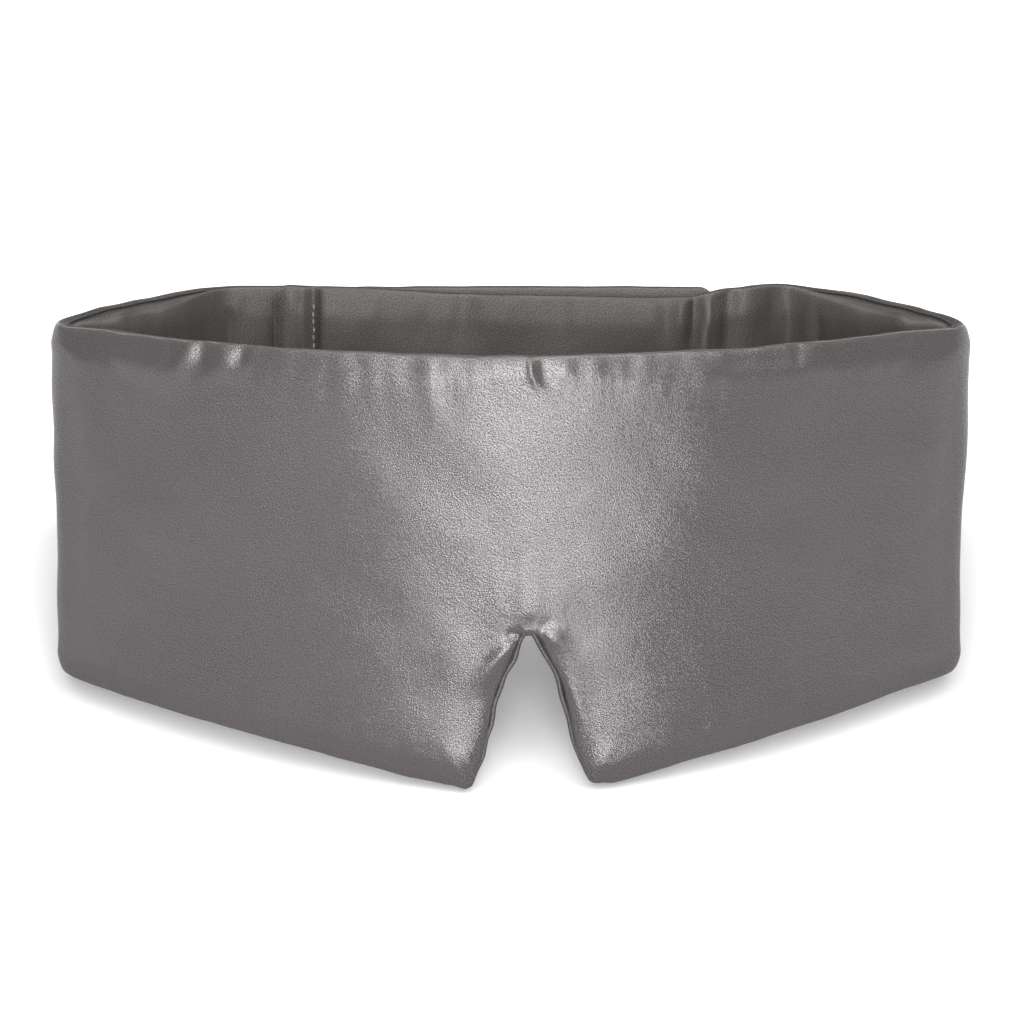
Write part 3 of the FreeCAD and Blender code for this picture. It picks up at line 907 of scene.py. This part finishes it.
def satin(name, dark, light, rough, crinkle, shine):
    """Satin with fine crinkles, a soft undulation, a faint twill and a little colour variation. It takes
    painted shade down in the seams and creases and a painted highlight on the upper rims and some crests,
    where the mesh is painted so."""
    m = Nodes(bpy.data.materials.new(name))
    flat = m.cloth()
    tone = m.mix(m.ramp(m.noise(flat, 38.0, 3.0), 0.35, 0.65, 0.0, 1.0), dark, light)
    crinkles = m.noise(m.cloth(1.7, -0.7, "TEXTURE"), CRINKLE_SIZE, 0.5)
    for share, colour in ((m.ramp(m.noise(flat, 2.4, 3.0, 0.6), 0.3, 0.75, 0.0, 0.28), times(dark, 0.8)),
                          (m.ramp(crinkles, 0.38, 0.62, 0.0, 0.6), times(light, 1.8)),
                          # painted shade in the seams and creases, and a painted highlight on the upper
                          # rims and lit crests
                          (m.painted("painted_seam_shade"), times(dark, 0.15)),
                          (m.painted("painted_rim_highlight"), times(light, 2.6))):
        tone = m.mix(share, tone, colour)
    normal = m.bump(m.noise(flat, 6.5), 0.35, 0.35)
    normal = m.bump(crinkles, crinkle, 0.3, normal)
    normal = m.bump(m.stripes(m.cloth(0.5, 0.9), 1 / (UV_SCALE * 3.4), 0.6, 1.0), 0.10, 0.02, normal)
    glint = m.ramp(crinkles, 0.36, 0.64, 0.2 * shine, 1.8 * shine)
    facing = m.add("LayerWeight", {"Blend": 0.5}, "Facing")
    return m.done(Base_Color=tone, Normal=normal,
                  Roughness=m.ramp(m.noise(flat, 11.0, 3.0), 0.3, 0.7, rough - 0.02, rough + 0.04),
                  Specular_IOR_Level=m.maths("MULTIPLY", glint, m.ramp(facing, 0.40, 0.75, 1.0, 0.10)),
                  Anisotropic=0.35, Anisotropic_Rotation=0.25,
                  Tangent=m.add("Tangent", {}, direction_type="UV_MAP", uv_map="cloth"),
                  Sheen_Weight=0.03, Sheen_Roughness=0.4, Sheen_Tint=(0.80, 0.76, 0.76, 1.0))


def yarn(name, dark, light):
    """Spun thread: fine slanting plies."""
    m = Nodes(bpy.data.materials.new(name))
    plies = m.stripes(m.cloth(1.0, 0.7), 60.0, 0.8)
    return m.done(Base_Color=m.mix(m.noise(m.cloth(), 1.5), dark, light), Roughness=0.55,
                  Normal=m.bump(plies, 0.5, 0.08), Sheen_Weight=0.3)


def tape_ground(name, dark, light):
    """Woven tape: warp and weft in a coarse plain weave."""
    m = Nodes(bpy.data.materials.new(name))
    weave = m.maths("MULTIPLY", m.stripes(m.cloth(), 32.0), m.stripes(m.cloth(), 40.0, direction="Y"))
    tone = m.mix(m.noise(m.cloth(), 5.0, 4.0), dark, light)
    tone = m.mix(m.ramp(weave, 0.0, 1.0, 0.45, 0.0), tone, times(dark, 0.55))
    return m.done(Base_Color=tone, Roughness=0.75, Normal=m.bump(weave, 0.8, 0.15), Sheen_Weight=0.15)


def pile(name, dark, light, rough):
    """Nylon hooks or brushed loops, each filament a little different."""
    m = Nodes(bpy.data.materials.new(name))
    return m.done(Base_Color=m.mix(m.noise(m.cloth(), 1.8, 3.0, 0.7), dark, light), Roughness=rough,
                  Normal=m.bump(m.noise(m.cloth(), 0.4), 0.3, 0.05), Sheen_Weight=0.3,
                  Specular_IOR_Level=0.55)


FLOOR_FRONT_Y = float(in_frame(np.array([0.0, -FRONT_SAG - FRONT_PUFF[0], 0.0]))[1])
HALF_WIDTH_SQUARED = 0.0154  # of the front, in square metres
GLARE = 4.0                  # a glowing patch painted on the floor behind the mask, seen only in reflections: a painted light source for the sheen of its back
GLARE_AT = (0.02, 0.16, 0.0)
GLARE_SHAPE = (11.0, 7.0, 0.0)


def paper(name, tone, seen_tone):
    """Matt studio paper that glows a little away from the mask: painted light that evens it out and washes
    out the mask's shadows on it. The cloth's sheen sees it darker, so that it meets the studio's walls
    without a step, and with a glowing patch painted behind the mask, which only reflections see."""
    m = Nodes(bpy.data.materials.new(name))
    place_in = m.add("TexCoord", {}, "Object")
    grain = m.add("TexNoise", {"Vector": place_in, "Scale": 900.0, "Detail": 2.0}, "Fac")
    from_mask = m.vector_maths("LENGTH", place_in, output="Value")
    x, y = (m.add("SeparateXYZ", {0: place_in}, axis) for axis in "XY")
    x_squared = m.maths("MULTIPLY", x, x)
    front_line = m.ramp(x_squared, 0.0, HALF_WIDTH_SQUARED, FLOOR_FRONT_Y, FLOOR_FRONT_Y + FRONT_SAG * MM)
    ahead = m.maths("SUBTRACT", front_line, y)
    seen = m.add("LightPath", {}, "Is Glossy Ray")
    # The glow is painted light: it evens out the far floor and washes out the mask's shadows in front of,
    # behind and beside it, least close to the mask.
    glow = m.ramp(from_mask, 0.7, 2.4, 0.0, 0.7)
    for level in (m.ramp(from_mask, 0.16, 0.6, 0.05, 0.25), m.ramp(ahead, -0.006, 0.014, 0.0, 0.28),
                  m.ramp(y, 0.068, 0.13, 0.0, 0.75), m.ramp(x_squared, 0.0175, 0.028, 0.0, 0.5)):
        glow = m.maths("ADD", glow, level)
    glow = m.maths("MULTIPLY", glow, m.ramp(seen, 0.0, 1.0, 1.0, 0.6))
    off_glare = m.vector_maths("MULTIPLY", m.vector_maths("SUBTRACT", place_in, GLARE_AT), GLARE_SHAPE)
    off_glare = m.vector_maths("LENGTH", off_glare, output="Value")
    glare = m.maths("MULTIPLY", m.ramp(off_glare, 0.0, 1.0, GLARE, 0.0, "SMOOTHERSTEP"), seen)
    return m.done(Base_Color=m.mix(seen, tone, seen_tone), Roughness=0.9, Specular_IOR_Level=0.1,
                  Normal=m.bump(grain, 0.05, 0.1), Emission_Color=(1.0, 1.0, 1.0, 1.0),
                  Emission_Strength=m.maths("ADD", glow, glare))


COVER = satin("satin_cover", (0.0345, 0.0303, 0.0306, 1), (0.0413, 0.0361, 0.0366, 1), 0.078, 0.29, 0.67)
INSIDE = satin("satin_lining", (0.051, 0.0460, 0.0424, 1), (0.061, 0.0548, 0.0505, 1), 0.42, 0.11, 0.28)
# The seam roll's satin is lighter than the cover's: a painted highlight along the roll's crest, between
# the painted shade on its flanks.
EDGE = satin("satin_seam", (0.060, 0.053, 0.053, 1), (0.072, 0.064, 0.064, 1), 0.32, 0.3, 0.45)
THREAD = yarn("sewing_thread", (0.17, 0.158, 0.155, 1), (0.27, 0.255, 0.25, 1))
TAPE = tape_ground("tape_weave", (0.070, 0.064, 0.063, 1), (0.100, 0.092, 0.090, 1))
HOOKS = pile("nylon_hooks", (0.10, 0.092, 0.090, 1), (0.19, 0.178, 0.175, 1), 0.35)
LOOPS = pile("brushed_loops", (0.085, 0.078, 0.076, 1), (0.16, 0.150, 0.147, 1), 0.8)
PAPER = paper("studio_paper", (0.86, 0.86, 0.865, 1), (0.45, 0.45, 0.455, 1))

# ------ band pieces
def piece(name, part, finish, bodies, stands_for=(), bend=(), shades=None, normals=None):
    """Adds a piece of the mask on one body. A piece over a bend from s to s, between two bodies, is only
    baked in place and put on neither.
    """
    obj = link(name, part, finish, shades, normals)
    if bend:
        start, end = (Vector(in_frame(chart_point(np.array(s), 0.0, MASK_HEIGHT / 2))) for s in bend)
        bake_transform(obj)
    else:
        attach(obj, *bodies)
    if stands_for:
        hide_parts(*stands_for)


SEAM_SIDES = 10


def seam_tube(s, z):
    """Part of the seam roll along chart points."""
    near = at_notch(s, z)
    ds, dz = np.gradient(s), np.gradient(z)
    reach = NOTCH_BEAD_OUT * near * (0.8 + 0.4 * np.sin(0.55 * z + 0.4 * s)) - SEAM_SUNK * (1 - near)
    length = np.maximum(np.hypot(ds, dz), 1e-9)
    spot = chart_point(s + reach * dz / length, 0 * s, z + wandered(s, z) - reach * ds / length)
    radius = SEAM_BEAD_R + (NOTCH_BEAD_R - SEAM_BEAD_R) * near
    along = running(np.linalg.norm(np.diff(spot, axis=0), axis=1))
    return tube(spot, radius, s, SEAM_SIDES, (along, 0 * along), 0.4)


def flank_shade(count):
    """Painted shade on both flanks of a seam roll, none on its crests."""
    turn = np.linspace(0, 2 * math.pi, SEAM_SIDES, endpoint=False)
    return np.tile(np.abs(np.sin(turn)) ** 1.5, count // SEAM_SIDES)


RIM_AT = (1.1, 1.6)          # how far from the seam the upper rims of cover and lining crest
RIM_LIGHT = 0.5              # how much the crests are lightened by a painted highlight


# Painted light on creases of the lining: a highlight on the crests and shade in the valleys, each drawn as
# a fold with a strength for a height.
PAINTED_CREASE_HIGHLIGHTS = [(226.4, 124, 230.4, 84, 0.75, 0.55, 0.9),
                (RIGHT_END - 4.6, 126, RIGHT_END - 4.9, 20, 0.8, 0.4, 0.3)]
PAINTED_CREASE_SHADE = [(231.3, 124, 235, 84, 1.5, 0.5, 0.6), (222.6, 124, 226, 80, 1.6, 0.5, 0.4),
                (STITCH_S - 1.5, 126, STITCH_S - 1.5, 20, 0.9, 0.4)]


def up_the_cloth(points, z):
    """Length of cloth up each column in mm, level with z in the middle row."""
    steps = np.linalg.norm(np.diff(points, axis=1), axis=-1) / MM
    length = np.pad(np.cumsum(steps, axis=1), ((0, 0), (1, 0)))
    middle = z.shape[1] // 2
    return z[:, [middle]] + length - length[:, [middle]]


def build_band():
    s, z, distance, points = build_faces()
    high = smooth_step(z, 90, 110)
    strap_end = smooth_step(s, RIGHT_END - 6, RIGHT_END - 2)
    # Painted shade along the seams: wider round the notch and along the strap's end, where the groove lies
    # in shadow, and weaker high up, where the rims catch the light.
    line = 0.55 + 0.3 * at_notch(s, z) + 0.75 * strap_end
    depth = bell(distance, line) * (1 - 0.45 * high * (1 - strap_end))
    painted_shades = [depth, np.maximum(depth, add_folds(s, z, PAINTED_CREASE_SHADE))]
    # Painted highlight along the crests of the upper rims, where they catch the light; the lining's
    # creases take painted highlights and shade as well.
    painted_highlights = [RIM_LIGHT * high * bell(distance - at, 0.45) for at in RIM_AT]
    painted_highlights[LINING] += add_folds(s, z, PAINTED_CREASE_HIGHLIGHTS)
    normals = [grid_normals(p, face) for face, p in enumerate(points)]
    lengths = [up_the_cloth(p, z) for p in points]
    column_s = s[:, 0]
    last = 0
    for name, end, bodies, stretch, bend in ZONES:
        first, last = last, int(np.argmin(np.abs(column_s - end)))
        part = slice(first, last + 1)
        outer_nodes = [f"{stretch}_outer_shell", f"{stretch}_padding"] if stretch else []
        lining_nodes = [f"{stretch}_lining"] if stretch else []
        if stretch == "front":
            outer_nodes.append("front_blackout_layer")
        faces = grid_faces(last - first + 1, s.shape[1])
        for face, label, finish, slot_name, nodes in (
                (OUTER, "cover", COVER, "satin", outer_nodes),
                (LINING, "lining", INSIDE, "lining", lining_nodes)):
            cloth = (points[face][part].reshape(-1, 3), faces if face == OUTER else faces[:, ::-1],
                     np.stack([s[part], lengths[face][part]], -1).reshape(-1, 2))
            piece(f"{name}_{label}", cloth, finish, bodies, nodes, bend,
                  {"painted_seam_shade": painted_shades[face][part], "painted_rim_highlight": painted_highlights[face][part]},
                  normals[face][part].reshape(-1, 3))
        tubes = [seam_tube(column_s[part], z[part][:, at]) for at in (0, -1)]
        if name in ("hook_tab", "right_strap"):
            at = first if name == "hook_tab" else last
            tubes.append(seam_tube(s[at], z[at]))
        roll = merged(tubes)
        piece(f"{name}_edge_seam", roll, EDGE, bodies, (), bend,
              {"painted_seam_shade": flank_shade(len(roll[0]))})


build_band()


# ------ stitches and closure tapes
def stitch_line(s_path, z_path, n, pitch, radius, lift, rng):
    """A row of stitches along a chart line, on the face at distance n from the middle surface."""
    sign = 1 if n > 0 else -1
    length = running(np.hypot(np.diff(s_path), np.diff(z_path)))
    parts = []
    for start in np.arange(0, length[-1] - pitch, pitch):
        reach = pitch * (0.66 + 0.05 * rng.standard_normal())
        t = np.linspace(0, 1, 8)
        at = start + reach * t
        s, z = np.interp(at, length, s_path), np.interp(at, length, z_path)
        side = 0.06 * rng.standard_normal()
        height = n + sign * (lift * np.sin(math.pi * t) ** 0.6 - 0.25 * (1 - np.sin(math.pi * t)))
        thick = radius * (0.75 + 0.25 * np.sin(math.pi * t))
        parts.append(tube(chart_point(s + side, height, z), thick, s, 6, (at, 0 * at), 0.2))
    return parts


def rectangle(s0, s1, z0, z1, count=60):
    """s and z round a rectangle, with count points on each side."""
    corners = np.array([(s0, z0), (s1, z0), (s1, z1), (s0, z1), (s0, z0)], float)
    return np.concatenate([np.linspace(a, b, count) for a, b in zip(corners, corners[1:])]).T


def tape_slab(s0, s1, z0, z1, n0, n1):
    """Thin tape with a softly rounded border between two distances from the middle surface."""
    count_s, count_z = max(8, int(abs(s1 - s0) / 1.5)), int((z1 - z0) / 1.5)
    u, v = np.meshgrid(np.linspace(0, 1, count_s), np.linspace(0, 1, count_z), indexing="ij")
    s, z = s0 + (s1 - s0) * u, z0 + (z1 - z0) * v
    border = np.minimum(np.minimum(u, 1 - u) * abs(s1 - s0), np.minimum(v, 1 - v) * (z1 - z0))
    n = n0 + (n1 - n0) * (0.25 + 0.75 * np.clip(border / 1.2, 0, 1) ** 0.5)
    points = in_frame(chart_point(s, n, z).reshape(-1, 3))
    faces = grid_faces(count_s, count_z)
    if (n1 < n0) != (s1 < s0):
        faces = faces[:, ::-1]
    return points, faces, np.stack([s, z], -1).reshape(-1, 2)


def pile_field(s0, s1, z0, z1, n0, n1, pitch, radius, rng, hooked):
    """Rows of small hooks or loops standing on a tape."""
    parts = []
    t = np.linspace(0, 1, 6)
    for i, s in enumerate(np.arange(s0 + 2.4, s1 - 2.0, pitch)):
        for z in np.arange(z0 + 2.4 + 0.5 * pitch * (i % 2), z1 - 2.0, pitch):
            if hooked:
                bend_s, bend_z = 0.0, 0.75 * pitch * np.sin(0.62 * math.pi * t) * (1 if i % 2 else -1)
                rise = np.sin(0.80 * math.pi * t)
            else:
                turn = rng.uniform(0, math.pi)
                bend_s = 0.9 * pitch * (t - 0.5) * math.cos(turn) + 0.1 * rng.standard_normal()
                bend_z = 0.9 * pitch * (t - 0.5) * math.sin(turn) + 0.1 * rng.standard_normal()
                rise = np.sin(math.pi * t) ** 0.7 * rng.uniform(0.6, 1.0)
            spot_s, spot_z = s + 0.15 * rng.standard_normal() + bend_s + 0 * t, z + bend_z
            n = n0 + (n1 - n0) * rise
            spot = chart_point(spot_s, n, spot_z)
            parts.append(tube(spot, radius, spot_s, 4, (spot_s, spot_z), 0))
    return parts


SEWING_INSET = 1.3           # from the edge of a tape
SEWING_PITCH = 2.4
END_PITCH = 2.3
END_LIFT = 0.62              # of the end stitches, off the surface


def build_closure():
    rng = np.random.default_rng(8)
    low, high = REAR_RISE + TAPE_MARGIN, MASK_HEIGHT - TAPE_MARGIN
    face = STRAP_T / 2
    ground, tips = face + 0.45 * TAPE_T, face + TAPE_T
    for name, on, side, body, pile_name, pile_finish, pitch, radius in (
            ("hook_tape", LINING, -1, "hook_tab", "hooks", HOOKS, 1.5, 0.11),
            ("loop_tape", OUTER, 1, "right_rear", "loops", LOOPS, 1.7, 0.10)):
        span = tape_span(on)
        slab = tape_slab(*span, low, high, side * (face - 0.3), side * ground)
        piece(f"{name}_weave", slab, TAPE, [body], [name])
        field = pile_field(*span, low, high, side * (ground - 0.1), side * tips, pitch, radius, rng,
                           pile_name == "hooks")
        piece(f"{name}_{pile_name}", merged(field), pile_finish, [body])
        path = rectangle(span[0] + SEWING_INSET, span[1] - SEWING_INSET,
                         low + SEWING_INSET, high - SEWING_INSET)
        stitches = stitch_line(*path, side * (ground - 0.08), SEWING_PITCH, 0.2, 0.2, rng)
        piece(f"{name}_sewing", merged(stitches), THREAD, [body], [f"{name}_stitches"])


def build_end_stitches():
    rng = np.random.default_rng(5)
    z = np.linspace(REAR_RISE + 2.5, MASK_HEIGHT - 2.0, 80)
    s = np.full_like(z, STITCH_S)
    parts = []
    for face, sign in ((OUTER, 1), (LINING, -1)):
        depth = float(pillow(np.array([STITCH_S]), np.array([EDGE_ROUND]), face)[0])
        parts += stitch_line(s, z, sign * (depth + END_LIFT), END_PITCH, 0.32, 0.35, rng)
    piece("strap_end_stitching", merged(parts), THREAD, ["right_rear"], ["strap_end_stitches"])


build_closure()
build_end_stitches()

# ------ studio
FLOOR_DROP = 0.0002
FLOOR_REACH = 6.0


def build_floor():
    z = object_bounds()[0].z - FLOOR_DROP
    corners = np.array([(-1, -1, 0), (1, -1, 0), (1, 1, 0), (-1, 1, 0)]) * FLOOR_REACH + (0, 0, z)
    floor = link("floor", (corners, np.array([(0, 1, 2, 3)]), corners[:, :2]), PAPER)
    floor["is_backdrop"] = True
    return floor


def aimed(name, data, spot, target):
    """A lamp or camera at spot that looks at target."""
    obj = placed(name, data)
    obj.location = spot
    obj.rotation_mode = "QUATERNION"
    obj.rotation_quaternion = (target - spot).to_track_quat("-Z", "Y")
    return obj


def spare(lamp, obj):
    """Keeps a lamp's light, and so the shadows it casts, off one object."""
    kept_off = bpy.data.collections.new(lamp.name + "_kept_off")
    kept_off.objects.link(obj)
    kept_off.collection_objects[0].light_linking.link_state = "EXCLUDE"
    lamp.light_linking.receiver_collection = kept_off


LAMP_TARGET = Vector((0, 0, 0.06))


def softbox(name, azimuth, elevation, distance, width, height, watts):
    """A rectangular light aimed at the mask; azimuth 0 is in front of it, and +X is positive."""
    a, e = math.radians(azimuth), math.radians(elevation)
    away = Vector((math.sin(a) * math.cos(e), -math.cos(a) * math.cos(e), math.sin(e)))
    data = bpy.data.lights.new(name, "AREA")
    data.shape = "RECTANGLE"
    data.size, data.size_y = width, height
    data.energy = watts
    return aimed(name, data, LAMP_TARGET + away * distance, LAMP_TARGET)


def build_world(strength, sheen_strength):
    """Plain white walls: full white behind the mask, darker as light on the cloth and in its sheen."""
    world = bpy.context.scene.world = bpy.data.worlds.new("studio")
    m = Nodes(world)
    sheen = m.ramp(m.add("LightPath", {}, "Is Glossy Ray"), 0.0, 1.0, strength, sheen_strength)
    level = m.ramp(m.add("LightPath", {}, "Is Camera Ray"), 0.0, 1.0, sheen, 1.0)
    m.feed(m.tree.nodes["Background"], {"Color": (1.0, 1.0, 1.0, 1.0), "Strength": level})


CAMERA_TARGET = (0.42, 0.0, 67.6)    # mask coordinates, mm
CAMERA_DISTANCE = 970.1
CAMERA_TILT = 14.4


def build_camera():
    data = bpy.data.cameras.new("camera")
    data.lens = 120.0
    data.sensor_width = 36.0
    data.clip_start, data.clip_end = 0.05, 50
    tilt = math.radians(CAMERA_TILT)
    target = Vector(CAMERA_TARGET)
    spot = target + CAMERA_DISTANCE * Vector((0, -math.cos(tilt), math.sin(tilt)))
    bpy.context.scene.camera = aimed("camera", data, TO_FRAME @ spot, TO_FRAME @ target)


floor = build_floor()
# name, azimuth and elevation in degrees, distance, width and height in metres, watts
softbox("front_main", 1.3, 15.0, 1.7, 0.93, 1.6, 43.0)
softbox("front_left", -36.0, 20.0, 1.7, 0.50, 1.1, 2.5)
softbox("front_high", 9.0, 62.0, 2.2, 2.5, 1.6, 44.0)
softbox("overhead", 0.0, 82.0, 2.0, 2.8, 2.8, 7.0)
rear_low = softbox("rear_low", 180.0, 12.0, 1.9, 1.8, 1.1, 40.0)
rear_low.visible_glossy = False
for lamp in (rear_low, softbox("rear_left", -140.0, 30.0, 1.9, 0.9, 0.9, 6.0),
             softbox("rear_right", 140.0, 30.0, 1.9, 0.9, 0.9, 6.0)):
    spare(lamp, floor)
build_world(strength=0.18, sheen_strength=0.47)
build_camera()
bpy.context.scene.view_settings.view_transform = "Standard"
